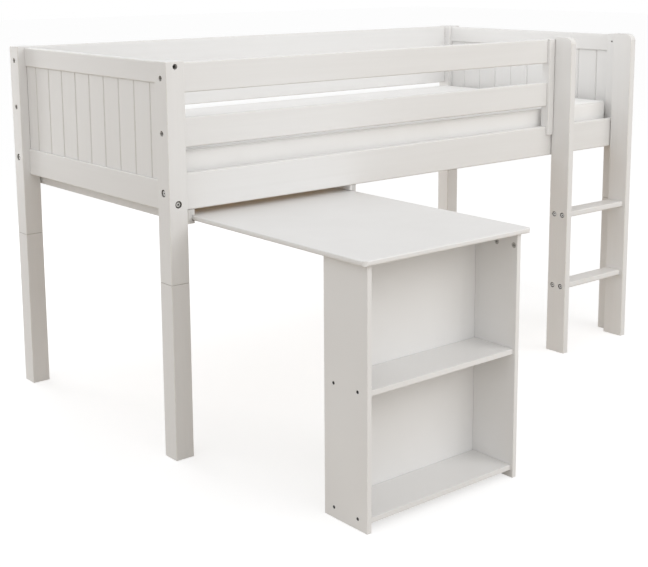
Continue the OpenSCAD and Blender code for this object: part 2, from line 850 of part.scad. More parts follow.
// A runner with its groove on the side of larger X. Its front end's lower inner corner is round.
module runner(x) {
    color(painted) difference() {
        translate([x, front_face + runner_inset, runner_z])
            eased_plate(runner_w, runner_l, runner_h, runner_end_r, runner_edge_r);
        translate([x + runner_w - runner_groove_d, front_face, runner_groove_z])
            cube([runner_groove_d + cut, bed_w, runner_groove_h]);
    }
}
module runner_left() {
    color(painted) difference() {
        runner(runner_left_x);
        at_left_corners() runner_screw_places() runner_screw_hole();
    }
}
module runner_right() {
    color(painted) difference() {
        translate([2 * runner_right_x + runner_w, 0, 0]) mirror([1, 0, 0]) runner(runner_right_x);
        at_left_corners() runner_screw_places() runner_screw_hole();
    }
}

// ---------- Fasteners of the frame ----------

module frame_bolts() {
    color(steel) at_all_corners() {
        side_bolt_place() large_bolt();
        end_bolt_place() large_bolt();
    }
}
module barrel_nuts() {
    color(steel) at_all_corners() difference() {
        barrel_nut_place() translate([0, 0, clearance]) cylinder(d = barrel_d, h = barrel_l);
        translate([barrel_x - barrel_d, 0, side_bolt_z]) rod_x(bolt_d + 0.1, 2 * barrel_d);
    }
}
module dowels() {
    color(bare_wood) at_all_corners() corner_dowels(dowel_d - 2 * clearance, 0);
}
module post_screws() {
    color(dark_steel) {
        at_all_corners() end_screw_place() sunk_screw();
        at_left_corners() guard_screw_places(guard_screw_heights) sunk_screw();
        at_right() at_rear() guard_screw_places(guard_screw_heights) sunk_screw();
    }
}
module upright_screws() {
    color(steel) {
        upright_screw_places() flat_screw(upright_w + screw_reach);
        lap_screw_place() flat_screw(rail_t + lap_screw_reach);
    }
}
module rung_bolts() {
    color(steel) {
        rung_bolt_places() rung_bolt();
        at_ladder_right() rung_bolt_places() rung_bolt();
    }
}
module ladder_bolts() { color(steel) ladder_bolt_places() ladder_bolt(); }
// Rings round the ladder's bolts, between the stiles and the side rail.
module ladder_spacers() {
    color(steel) ladder_bolt_places() translate([0, 0, rail_t]) difference() {
        cylinder(d = ladder_spacer_d, h = ladder_standoff);
        translate([0, 0, -cut]) cylinder(d = bolt_d + 2 * bore_gap, h = ladder_standoff + 2 * cut);
    }
}
module ledger_screws() {
    color(steel) at_left_corners() ledger_screw_places() flat_screw(ledger_w + ledger_screw_reach);
}
module slat_screws() {
    color(steel) at_left_corners() slat_screw_places() flat_screw(slat_t + slat_screw_reach);
}
module runner_screws() { color(steel) at_left_corners() runner_screw_places() runner_screw(); }

// ---------- Desk ----------

// Cams near the upper end of the left side panel, on its inner face.
module cam_places() {
    for (y = [unit_front + cam_inset, unit_front + cam_inset + cam_spacing])
        translate([unit_left + panel_t, y, desk_z - cam_drop]) children();
}
// Bolts that stand in the desk top and reach down to the cams.
module cam_bolt_places() {
    cam_places() translate([-cam_h / 2, 0, cam_d / 2 + clearance]) children();
}
cam_bolt_l = cam_drop - cam_d / 2 - clearance + cam_bolt_in_top;

// Screws through the left side panel into the shelves.
module shelf_screw_places() {
    for (z = shelf_heights)
        for (side = [-1, 1])
            translate([unit_left, (unit_front + unit_rear + side * shelf_screw_spacing) / 2, z + panel_t / 2])
                along_x() children();
}
module shelf_screw() {
    translate([0, 0, shelf_screw_head_h])
        socket_bolt(shelf_screw_head_d, shelf_screw_head_h - clearance, shelf_screw_d,
                    panel_t - shelf_screw_head_h + shelf_screw_reach);
}
module shelf_screw_hole() {
    translate([0, 0, -cut]) cylinder(d = shelf_screw_head_d + 2 * bore_gap, h = shelf_screw_head_h + cut);
    cylinder(d = shelf_screw_d + 2 * bore_gap, h = panel_t + shelf_screw_reach + cut);
}
// Mirrors the shelf unit's left side to its right.
module at_unit_right() { translate([unit_left + unit_right, 0, 0]) mirror([1, 0, 0]) children(); }
module at_unit_sides() { children(); at_unit_right() children(); }

// Section of the desk top: its lower edges are rounder than its upper ones.
module desk_section(w) {
    translate([desk_lower_r, 0]) square([w - 2 * desk_lower_r, desk_t]);
    translate([desk_upper_r, desk_lower_r]) square([w - 2 * desk_upper_r, desk_t - desk_lower_r]);
    translate([0, desk_lower_r]) square([w, desk_t - desk_lower_r - desk_upper_r]);
    for (x = [desk_lower_r, w - desk_lower_r]) translate([x, desk_lower_r]) circle(desk_lower_r);
    for (x = [desk_upper_r, w - desk_upper_r]) translate([x, desk_t - desk_upper_r]) circle(desk_upper_r);
}
module desk_plate() {
    intersection() {
        bar_z(desk_w, desk_d, desk_t, desk_corner_r);
        rotate([90, 0, 90]) linear_extrude(desk_w) desk_section(desk_d);
        translate([0, desk_d, 0]) rotate([90, 0, 0]) linear_extrude(desk_d) desk_section(desk_w);
    }
}
module desk_top() {
    color(painted) difference() {
        translate([desk_left, desk_front, desk_z]) desk_plate();
        at_unit_sides() cam_bolt_places()
            cylinder(d = cam_bolt_d + 2 * bore_gap, h = cam_bolt_l + clearance);
    }
}
module desk_side() {
    color(painted) difference() {
        translate([unit_left, unit_front, 0])
            eased_plate(panel_t, unit_d, desk_z, panel_edge_r, panel_edge_r);
        shelf_screw_places() shelf_screw_hole();
        cam_places() translate([-cam_h - clearance, 0, 0])
            rod_x(cam_d + 2 * bore_gap, cam_h + clearance + cut);
        cam_bolt_places() cylinder(d = cam_bolt_d + 2 * bore_gap, h = cam_bolt_l);
    }
}
module desk_side_left() { desk_side(); }
module desk_side_right() { at_unit_right() desk_side(); }
module desk_back() {
    color(painted) translate([unit_left + panel_t, unit_rear - panel_t, bottom_shelf_z])
        cube([shelf_w, panel_t, desk_z - bottom_shelf_z]);
}
module desk_shelf(z) {
    color(painted) difference() {
        translate([unit_left + panel_t, shelf_front, z]) bar_x(shelf_w, shelf_d, panel_t, panel_edge_r);
        at_unit_sides() shelf_screw_places() shelf_screw_hole();
    }
}
module desk_shelf_middle() { desk_shelf(middle_shelf_z); }
module desk_shelf_bottom() { desk_shelf(bottom_shelf_z); }

// A cam has a cross recess in its face.
module desk_cams() {
    color(steel) at_unit_sides() cam_places() difference() {
        translate([-cam_h, 0, 0]) rod_x(cam_d, cam_h);
        for (turn = [0, 90])
            rotate([turn, 0, 0]) translate([-2, -cam_d * 0.3, -1]) cube([2 + cut, cam_d * 0.6, 2]);
    }
}
module desk_cam_bolts() {
    color(steel) at_unit_sides() cam_bolt_places() cylinder(d = cam_bolt_d, h = cam_bolt_l);
}
module desk_screws() { color(dark_steel) at_unit_sides() shelf_screw_places() shelf_screw(); }

// ---------- Mattress ----------

// Points of a rounded rectangle with half sizes a and b, in one turn.
corner_steps = 5;
least_corner_r = 5;
long_steps = 10;
short_steps = 6;
function corner_points(cx, cy, r, start) =
    [for (i = [0 : corner_steps])
        let (turn = start + 90 * i / corner_steps)
        [cx + r * cos(turn), cy + r * sin(turn)]];
function between(p, q, steps) = [for (i = [1 : steps - 1]) p + (q - p) * i / steps];
function outline(a, b, r) =
    let (
        c0 = corner_points(a - r, b - r, r, 0),
        c1 = corner_points(r - a, b - r, r, 90),
        c2 = corner_points(r - a, r - b, r, 180),
        c3 = corner_points(a - r, r - b, r, 270)
    )
    concat(
        c0, between(c0[corner_steps], c1[0], long_steps),
        c1, between(c1[corner_steps], c2[0], short_steps),
        c2, between(c2[corner_steps], c3[0], long_steps),
        c3, between(c3[corner_steps], c0[0], short_steps)
    );

// Draws the sides of an outline in, most at their middles and not at the corners.
function drawn_in(q, a, b, depth) = [
    q.x - depth * sign(q.x) * pow(abs(q.x) / a, 8) * (1 - pow(q.y / b, 2)),
    q.y - depth * sign(q.y) * pow(abs(q.y) / b, 8) * (1 - pow(q.x / a, 2))
];
function side_ring(inset, z) =
    let (a = mattress_l / 2 - inset, b = mattress_w / 2 - inset)
    [for (q = outline(a, b, max(mattress_corner_r - inset, least_corner_r)))
        concat(drawn_in(q, a, b, mattress_draw), z)];
function scaled_ring(ring, s, rise) = [for (p = ring) [p.x * s, p.y * s, p.z + rise * (1 - s * s)]];

edge_steps = 3;
edge_angles = [for (i = [0 : edge_steps]) 90 * i / edge_steps];
mattress_waist = 3;
crown_scales = [0.94, 0.82, 0.62, 0.36];
top_ring = side_ring(mattress_edge_r, mattress_h);
mattress_rings = concat(
    [for (t = edge_angles) side_ring(mattress_edge_r * (1 - sin(t)), mattress_edge_r * (1 - cos(t)))],
    [side_ring(mattress_waist, mattress_h / 2)],
    [for (t = edge_angles)
        side_ring(mattress_edge_r * (1 - cos(t)), mattress_h - mattress_edge_r * (1 - sin(t)))],
    [for (s = crown_scales) scaled_ring(top_ring, s, mattress_crown)]
);
ring_n = len(top_ring);
ring_count = len(mattress_rings);

module mattress() {
    points = concat([for (ring = mattress_rings) each ring], [[0, 0, mattress_h + mattress_crown]]);
    sides = [for (k = [0 : ring_count - 2]) for (i = [0 : ring_n - 1])
        let (j = (i + 1) % ring_n, lo = k * ring_n, hi = lo + ring_n)
        each [[lo + i, hi + i, hi + j], [lo + i, hi + j, lo + j]]];
    last = (ring_count - 1) * ring_n;
    lid = [for (i = [0 : ring_n - 1]) [last + i, ring_count * ring_n, last + (i + 1) % ring_n]];
    color(cloth) translate([mattress_x, mattress_y, mattress_z])
        polyhedron(points, concat([[for (i = [0 : ring_n - 1]) i]], sides, lid));
}

post_front_left();
post_front_right();
post_rear_left();
post_rear_right();
leg_front_left();
leg_front_right();
leg_rear_left();
leg_rear_right();
leg_studs();
side_rail_front();
side_rail_rear();
end_left_top_rail();
end_left_bottom_rail();
end_left_boards();
end_right_top_rail();
end_right_bottom_rail();
end_right_boards();
guard_front_upper();
guard_front_lower();
guard_upright();
guard_rear();
ladder_stile_left();
ladder_stile_right();
ladder_rung_upper();
ladder_rung_lower();
ledger_front();
ledger_rear();
slats();
runner_left();
runner_right();
frame_bolts();
barrel_nuts();
dowels();
post_screws();
upright_screws();
rung_bolts();
ladder_bolts();
ladder_spacers();
ledger_screws();
slat_screws();
runner_screws();
desk_top();
desk_side_left();
desk_side_right();
desk_back();
desk_shelf_middle();
desk_shelf_bottom();
desk_cams();
desk_cam_bolts();
desk_screws();
mattress();
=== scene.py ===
"""Cabin bed with a pull-out desk: its finishes, its mattress and the studio around it.

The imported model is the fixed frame. Every board, panel and fitting of it is copied, its sharp
arrises are eased and it gets its paint, wood or metal. The mattress is sewn here: a cover that
is blown up by a cloth simulation over its foam, with a corded seam around its faces.
"""

import logging
import math
import random
from dataclasses import dataclass, field
from enum import Enum
from typing import Iterable, Optional, Sequence

import bmesh
import bpy
from mathutils import Matrix, Vector
from mathutils.bvhtree import BVHTree


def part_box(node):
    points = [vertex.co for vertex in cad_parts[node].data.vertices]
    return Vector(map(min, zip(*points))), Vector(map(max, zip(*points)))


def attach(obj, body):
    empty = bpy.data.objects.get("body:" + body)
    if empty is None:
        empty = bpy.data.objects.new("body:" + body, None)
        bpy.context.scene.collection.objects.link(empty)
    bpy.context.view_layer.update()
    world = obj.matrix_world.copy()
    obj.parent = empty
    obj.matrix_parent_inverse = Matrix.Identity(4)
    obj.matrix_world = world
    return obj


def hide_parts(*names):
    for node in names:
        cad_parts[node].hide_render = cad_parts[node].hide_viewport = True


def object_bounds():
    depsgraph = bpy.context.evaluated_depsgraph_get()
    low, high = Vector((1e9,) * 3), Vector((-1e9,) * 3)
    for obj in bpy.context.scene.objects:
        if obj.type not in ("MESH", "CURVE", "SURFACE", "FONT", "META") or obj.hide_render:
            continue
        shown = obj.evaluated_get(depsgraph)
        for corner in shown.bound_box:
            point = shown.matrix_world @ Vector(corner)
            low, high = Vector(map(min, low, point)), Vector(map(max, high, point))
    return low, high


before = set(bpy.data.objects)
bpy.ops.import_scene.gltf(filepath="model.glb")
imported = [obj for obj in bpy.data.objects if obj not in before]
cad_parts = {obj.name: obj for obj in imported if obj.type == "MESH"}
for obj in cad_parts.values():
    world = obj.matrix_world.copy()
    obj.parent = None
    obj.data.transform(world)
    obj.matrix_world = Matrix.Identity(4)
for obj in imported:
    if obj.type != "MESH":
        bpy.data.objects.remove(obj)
CAD_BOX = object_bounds()
BED_MIDDLE = (CAD_BOX[0][0] + CAD_BOX[1][0]) / 2

log = logging.getLogger("cabin_bed")

Colour = tuple[float, float, float, float]
Triple = tuple[float, float, float]
Pair = tuple[float, float]

MM = 0.001
WHITE: Colour = (1, 1, 1, 1)


class Axis(Enum):
    """The direction in which the grain of a board runs."""

    X = 0
    Y = 1
    Z = 2


class Body(Enum):
    """The bodies of the model that a piece can ride on."""

    BED = "bed_frame"
    DESK = "desk"
    MATTRESS = "mattress"


class Slot(Enum):
    """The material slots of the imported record."""

    PAINT = "white_paint"
    BOARDS = "white_boards"
    PANEL = "white_panel"
    PINE = "bare_pine"
    ZINC = "zinc_steel"
    DARK = "dark_steel"
    COVER = "mattress_cover"


def placed(name: str, data: bpy.types.ID) -> bpy.types.Object:
    """A new object in the scene.

    Args:
        name: Its name.
        data: Its mesh, lamp or camera.

    Returns:
        The object.
    """
    obj = bpy.data.objects.new(name, data)
    bpy.context.scene.collection.objects.link(obj)
    return obj


def meshed(bm: bmesh.types.BMesh, name: str) -> bpy.types.Mesh:
    """Turns worked faces into a mesh.

    Args:
        bm: The faces, which are given up.
        name: The mesh's name.

    Returns:
        The mesh.
    """
    mesh = bpy.data.meshes.new(name)
    bm.to_mesh(mesh)
    bm.free()
    return mesh


# ---------- Node trees ----------


class Nodes:
    """A node tree and short calls that add and join its nodes."""

    def __init__(self, tree: bpy.types.NodeTree) -> None:
        """Empties the tree of a material or of the world."""
        self.tree = tree
        self.tree.nodes.clear()

    def add(self, kind: str, inputs: Optional[dict] = None, **settings: object) -> bpy.types.Node:
        """Adds a node.

        Args:
            kind: The node's type name.
            inputs: Values or sockets for its inputs, by the inputs' names or numbers.
            settings: Values for the node's own properties.

        Returns:
            The new node.
        """
        node = self.tree.nodes.new(kind)
        for key, value in settings.items():
            setattr(node, key, value)
        for key, value in (inputs or {}).items():
            if isinstance(value, bpy.types.NodeSocket):
                self.join(value, node.inputs[key])
            else:
                node.inputs[key].default_value = value
        return node

    def join(self, source: bpy.types.NodeSocket, target: bpy.types.NodeSocket) -> None:
        """Links an output to an input."""
        self.tree.links.new(source, target)

    def spread(self, value: bpy.types.NodeSocket, low: float, high: float,
               start: float = 0.0, end: float = 1.0) -> bpy.types.NodeSocket:
        """Maps values between low and high to values between start and end."""
        node = self.add("ShaderNodeMapRange", {0: value, 1: low, 2: high, 3: start, 4: end})
        return node.outputs[0]

    def math(self, operation: str, first: object, second: object = 0.0) -> bpy.types.NodeSocket:
        """Joins two numbers or sockets by a sum, a product or another operation."""
        return self.add("ShaderNodeMath", {0: first, 1: second}, operation=operation).outputs[0]


class Wiring(Nodes):
    """A new material with a main shader, and short calls for its patterns and colours."""

    def __init__(self, name: str) -> None:
        """Starts the material.

        Args:
            name: Its name.
        """
        self.material = bpy.data.materials.new(name)
        self.material.use_nodes = True
        super().__init__(self.material.node_tree)
        self.shader = self.add("ShaderNodeBsdfPrincipled")
        self.add("ShaderNodeOutputMaterial", {"Surface": self.shader.outputs[0]})

    def places(self, scale: Triple = (1, 1, 1), turn: Triple = (0, 0, 0)) -> bpy.types.NodeSocket:
        """Object coordinates, scaled and turned.

        Args:
            scale: The scale along each axis.
            turn: The turn about each axis, in radians.

        Returns:
            The socket of the mapped places.
        """
        source = self.add("ShaderNodeTexCoord").outputs["Object"]
        return self.add("ShaderNodeMapping", {
            "Vector": source, "Scale": scale, "Rotation": turn}).outputs[0]

    def noise(self, vector: bpy.types.NodeSocket, scale: float = 1.0, detail: float = 2.0,
              roughness: float = 0.5, distortion: float = 0.0) -> bpy.types.NodeSocket:
        """A noise pattern.

        Args:
            vector: Where it is read.
            scale: Its scale.
            detail: Number of finer layers.
            roughness: Share of the finer layers.
            distortion: How far it is distorted.

        Returns:
            The socket of its values, from 0 to 1.
        """
        node = self.add("ShaderNodeTexNoise", {
            "Vector": vector, "Scale": scale, "Detail": detail,
            "Roughness": roughness, "Distortion": distortion})
        return node.outputs[0]

    def weighted(self, *parts: tuple[bpy.types.NodeSocket, float]) -> bpy.types.NodeSocket:
        """Adds patterns up by their shares.

        Args:
            parts: Each pattern with its share.

        Returns:
            The socket of the sum.
        """
        products = [self.math("MULTIPLY", pattern, share) for pattern, share in parts]
        total = products[0]
        for product in products[1:]:
            total = self.math("ADD", total, product)
        return total

    def blend(self, share: bpy.types.NodeSocket, first: object,
              second: object) -> bpy.types.NodeSocket:
        """Mixes two colours or sockets; the share is the second one's."""
        node = self.add("ShaderNodeMix", {0: share, 6: first, 7: second}, data_type="RGBA")
        return node.outputs[2]

    def attribute(self, name: str) -> bpy.types.NodeSocket:
        """The values of a mesh attribute."""
        return self.add("ShaderNodeAttribute", attribute_name=name).outputs["Fac"]

    def rubbed(self, surface: bpy.types.NodeSocket, under: Colour, scale: float,
               patches: Pair, shares: Pair) -> bpy.types.NodeSocket:
        """Lets what is under a finish show along the arrises, more so in patches of noise."""
        patch = self.spread(self.noise(self.places(), scale, detail=4), *patches, *shares)
        return self.blend(self.math("MULTIPLY", self.attribute("arris"), patch), surface, under)

    def with_painted_shade(self, surface: bpy.types.NodeSocket, dark: Colour, closed: Pair,
                 most: float = 1.0) -> bpy.types.NodeSocket:
        """Paints shade into a colour in grooves, joints and holes, as far as they are closed in.
        """
        share = self.spread(self.attribute("painted_shade"), *closed, 0.0, most)
        return self.blend(share, surface, dark)

    def emboss(self, height: bpy.types.NodeSocket, strength: float, distance: float) -> None:
        """Joins a height pattern to the shader's normal.

        Args:
            height: The pattern.
            strength: Its strength, from 0 to 1.
            distance: The height that a value of 1 stands for, in metres.
        """
        bump = self.add("ShaderNodeBump", {
            "Strength": strength, "Distance": distance, "Height": height})
        self.join(bump.outputs[0], self.shader.inputs["Normal"])

    def colour(self, socket: bpy.types.NodeSocket) -> None:
        """Joins a colour to the shader."""
        self.join(socket, self.shader.inputs["Base Color"])

    def roughness(self, socket: bpy.types.NodeSocket) -> None:
        """Joins a roughness to the shader."""
        self.join(socket, self.shader.inputs["Roughness"])

    def steady(self, **numbers: float) -> None:
        """Sets even numbers on the shader, by its sockets' names with _ for each space."""
        for name, number in numbers.items():
            self.shader.inputs[name.replace("_", " ")].default_value = number


def lengthwise(axis: Axis, along: float, across: float) -> Triple:
    """Scales along X, Y and Z of a pattern that runs along a board."""
    return tuple(along if i == axis.value else across for i in range(3))


# ---------- Finishes ----------
#
# Scales in pairs are along and across the grain. Ranges in pairs are the pattern's values
# between which an effect grows.


@dataclass(frozen=True)
class PaintedWood:
    """Sprayed satin paint on pine, with the grain showing faintly through it."""

    name: str = "white_paint"
    colour: Colour = (0.802, 0.796, 0.788, 1)
    shade: Colour = (0.768, 0.760, 0.748, 1)
    thin: Colour = (0.74, 0.715, 0.66, 1)
    # Painted shade: colour laid into grooves, joints and holes as far as they are closed in.
    painted_shade: Colour = (0.10, 0.092, 0.08, 1)
    grain_scale: Pair = (2.2, 62)
    fibre_scale: Pair = (14, 420)
    cloud_scale: Pair = (1.1, 4.5)
    spray_scale: float = 520
    grain_height: float = 0.62
    fibre_height: float = 0.26
    spray_height: float = 0.12
    grain_depth: float = 0.35 * MM
    grain_strength: float = 0.10
    cloud_share: float = 0.5
    tone_range: Pair = (0.38, 0.66)
    tone_share: float = 0.25
    rub_scale: float = 46
    rub_range: Pair = (0.42, 0.7)
    rub_shares: Pair = (0.1, 0.55)
    closed_range: Pair = (0.12, 0.75)
    closed_most: float = 0.95
    rough_range: Pair = (0.3, 0.7)
    rough: Pair = (0.36, 0.46)
    gloss: float = 0.32

    def material(self, axis: Axis) -> bpy.types.Material:
        """Makes the paint for boards of one direction.

        Args:
            axis: The direction of the grain.

        Returns:
            The material.
        """
        tree = Wiring(f"{self.name}_{axis.name.lower()}")
        grain = tree.noise(tree.places(lengthwise(axis, *self.grain_scale)),
                           detail=6, roughness=0.62, distortion=0.25)
        fibre = tree.noise(tree.places(lengthwise(axis, *self.fibre_scale)),
                           detail=3, roughness=0.55)
        cloud = tree.noise(tree.places(lengthwise(axis, *self.cloud_scale)))
        spray = tree.noise(tree.places(), self.spray_scale)
        height = tree.weighted((grain, self.grain_height), (fibre, self.fibre_height),
                               (spray, self.spray_height))
        tree.emboss(height, self.grain_strength, self.grain_depth)
        streaks = tree.weighted((grain, 1 - self.cloud_share), (cloud, self.cloud_share))
        tone = tree.weighted((tree.spread(streaks, *self.tone_range), 1 - self.tone_share),
                             (tree.attribute("tone"), self.tone_share))
        paint = tree.rubbed(tree.blend(tone, self.colour, self.shade), self.thin,
                            self.rub_scale, self.rub_range, self.rub_shares)
        # Painted shade darkens the paint in grooves, joints and holes.
        tree.colour(tree.with_painted_shade(paint, self.painted_shade, self.closed_range, self.closed_most))
        tree.roughness(tree.spread(cloud, *self.rough_range, *self.rough))
        tree.steady(Specular_IOR_Level=self.gloss)
        return tree.material


@dataclass(frozen=True)
class LacqueredPanel:
    """Smooth white lacquer on the desk's flat panels."""

    name: str = "white_panel"
    colour: Colour = (0.802, 0.796, 0.788, 1)
    shade: Colour = (0.780, 0.773, 0.763, 1)
    # Painted shade: colour laid into joints and holes as far as they are closed in.
    painted_shade: Colour = (0.10, 0.092, 0.08, 1)
    peel_scale: float = 260
    peel_strength: float = 0.05
    peel_depth: float = 0.25 * MM
    cloud_scale: float = 3.2
    cloud_range: Pair = (0.35, 0.7)
    rub_scale: float = 38
    rub_range: Pair = (0.45, 0.7)
    rub_shares: Pair = (0.0, 0.5)
    closed_range: Pair = (0.12, 0.75)
    closed_most: float = 0.95
    smear_scale: float = 18
    rough_range: Pair = (0.3, 0.7)
    rough: Pair = (0.28, 0.36)
    gloss: float = 0.28

    def material(self) -> bpy.types.Material:
        """Makes the lacquer.

        Returns:
            The material.
        """
        tree = Wiring(self.name)
        peel = tree.noise(tree.places(), self.peel_scale, detail=3)
        tree.emboss(peel, self.peel_strength, self.peel_depth)
        cloud = tree.noise(tree.places(), self.cloud_scale, detail=3)
        paint = tree.blend(tree.spread(cloud, *self.cloud_range), self.colour, self.shade)
        paint = tree.rubbed(paint, self.shade, self.rub_scale, self.rub_range, self.rub_shares)
        # Painted shade darkens the lacquer in joints and holes.
        tree.colour(tree.with_painted_shade(paint, self.painted_shade, self.closed_range, self.closed_most))
        smears = tree.noise(tree.places(), self.smear_scale, detail=4)
        tree.roughness(tree.spread(smears, *self.rough_range, *self.rough))
        tree.steady(Specular_IOR_Level=self.gloss)
        return tree.material


@dataclass(frozen=True)
class BarePine:
    """Planed pine without paint, with growth rings, fibre and a few knots."""

    name: str = "bare_pine"
    early: Colour = (0.76, 0.56, 0.33, 1)
    late: Colour = (0.56, 0.35, 0.16, 1)
    knot: Colour = (0.24, 0.11, 0.045, 1)
    ring_scale: float = 22.0
    ring_stretch: float = 0.06
    heart_lean: Triple = (0.03, 0.02, 0.05)
    fibre_scale: Pair = (9, 340)
    knot_scale: Pair = (2.4, 7.5)
    knot_edge: Pair = (0.10, 0.055)
    ring_range: Pair = (0.25, 0.95)
    ring_waver: float = 7.5
    fibre_range: Pair = (0.45, 0.8)
    fibre_most: float = 0.35
    fibre_height: float = 0.7
    ring_height: float = -0.2
    relief_strength: float = 0.25
    relief_depth: float = 0.3 * MM
    rough_range: Pair = (0.3, 0.8)
    rough: Pair = (0.52, 0.68)

    def material(self, axis: Axis) -> bpy.types.Material:
        """Makes the wood for boards of one direction.

        Args:
            axis: The direction of the grain.

        Returns:
            The material.
        """
        tree = Wiring(f"{self.name}_{axis.name.lower()}")
        leaning = tree.places(lengthwise(axis, self.ring_stretch, 1), self.heart_lean)
        rings = tree.add("ShaderNodeTexWave", {
            "Vector": leaning, "Scale": self.ring_scale, "Distortion": self.ring_waver,
            "Detail": 3.0, "Detail Scale": 1.4, "Detail Roughness": 0.55},
            wave_type="RINGS", rings_direction=axis.name).outputs[1]
        fibre = tree.noise(tree.places(lengthwise(axis, *self.fibre_scale)),
                           detail=5, roughness=0.6)
        spots = tree.add("ShaderNodeTexVoronoi", {
            "Vector": tree.places(lengthwise(axis, *self.knot_scale)), "Scale": 1.0}).outputs[0]
        wood = tree.blend(tree.spread(rings, *self.ring_range), self.early, self.late)
        streaks = tree.spread(fibre, *self.fibre_range, 0.0, self.fibre_most)
        wood = tree.blend(streaks, wood, self.late)
        tree.colour(tree.blend(tree.spread(spots, *self.knot_edge), wood, self.knot))
        height = tree.weighted((fibre, self.fibre_height), (rings, self.ring_height))
        tree.emboss(height, self.relief_strength, self.relief_depth)
        tree.roughness(tree.spread(fibre, *self.rough_range, *self.rough))
        return tree.material


@dataclass(frozen=True)
class Steel:
    """Plated or blackened steel of the bolts and screws."""

    name: str
    colour: Colour
    dull: Colour
    rough: Pair
    # Painted shade: colour laid into sockets and other hollows as far as they are closed in.
    painted_shade: Colour = (0.02, 0.02, 0.02, 1)
    closed_range: Pair = (0.25, 0.6)
    stain_scale: float = 160
    stain_range: Pair = (0.35, 0.7)
    turning_scale: float = 900
    turning_strength: float = 0.12
    turning_depth: float = 0.05 * MM
    rough_range: Pair = (0.3, 0.7)

    def material(self) -> bpy.types.Material:
        """Makes the metal.

        Returns:
            The material.
        """
        tree = Wiring(self.name)
        stains = tree.noise(tree.places(), self.stain_scale, detail=4, roughness=0.6)
        turning = tree.noise(tree.places((self.turning_scale,) * 3))
        metal = tree.blend(tree.spread(stains, *self.stain_range), self.colour, self.dull)
        # Painted shade darkens the metal in sockets and hollows.
        tree.colour(tree.with_painted_shade(metal, self.painted_shade, self.closed_range))
        tree.roughness(tree.spread(turning, *self.rough_range, *self.rough))
        tree.emboss(turning, self.turning_strength, self.turning_depth)
        tree.steady(Metallic=1.0)
        return tree.material


@dataclass(frozen=True)
class WovenCover:
    """White woven cotton of the mattress cover."""

    name: str = "mattress_cover"
    colour: Colour = (0.90, 0.895, 0.885, 1)
    shade: Colour = (0.83, 0.82, 0.805, 1)
    thread: float = 1.3 * MM
    slub_scale: float = 60
    cloud_scale: float = 5.0
    cloud_range: Pair = (0.35, 0.7)
    weave_shade: float = 0.35
    cloud_shade: float = 0.4
    weave_height: float = 0.4
    slub_height: float = 0.8
    relief_strength: float = 0.35
    relief_depth: float = 0.3 * MM
    rough_range: Pair = (0.3, 0.7)
    rough: Pair = (0.82, 0.95)
    sheen: float = 0.25
    sheen_rough: float = 0.5
    gloss: float = 0.25

    def material(self) -> bpy.types.Material:
        """Makes the cloth.

        Returns:
            The material.
        """
        tree = Wiring(self.name)
        source = tree.add("ShaderNodeTexCoord").outputs["Object"]
        sides = tree.add("ShaderNodeSeparateXYZ", {0: source}).outputs
        turns = 2 * math.pi / self.thread
        x, y, z = [tree.math("SINE", tree.math("MULTIPLY", side, turns)) for side in sides]
        weave = tree.math("ADD", tree.math("MULTIPLY", x, y), tree.math("MULTIPLY", y, z))
        weave = tree.math("ADD", weave, tree.math("MULTIPLY", x, z))
        slub = tree.noise(tree.places((self.slub_scale,) * 3), detail=5, roughness=0.6)
        cloud = tree.noise(tree.places(), self.cloud_scale, detail=3)
        height = tree.weighted((weave, self.weave_height), (slub, self.slub_height))
        tree.emboss(height, self.relief_strength, self.relief_depth)
        tone = tree.math("ADD", tree.spread(weave, -1.0, 1.0, self.weave_shade, 0.0),
                         tree.spread(cloud, *self.cloud_range, 0.0, self.cloud_shade))
        tree.colour(tree.blend(tone, self.colour, self.shade))
        tree.roughness(tree.spread(slub, *self.rough_range, *self.rough))
        tree.steady(Sheen_Weight=self.sheen, Sheen_Roughness=self.sheen_rough,
                    Specular_IOR_Level=self.gloss)
        return tree.material


# ---------- Joinery ----------


@dataclass(frozen=True)
class Piece:
    """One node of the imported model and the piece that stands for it."""

    node: str
    name: str
    slot: Slot
    axis: Axis = Axis.X


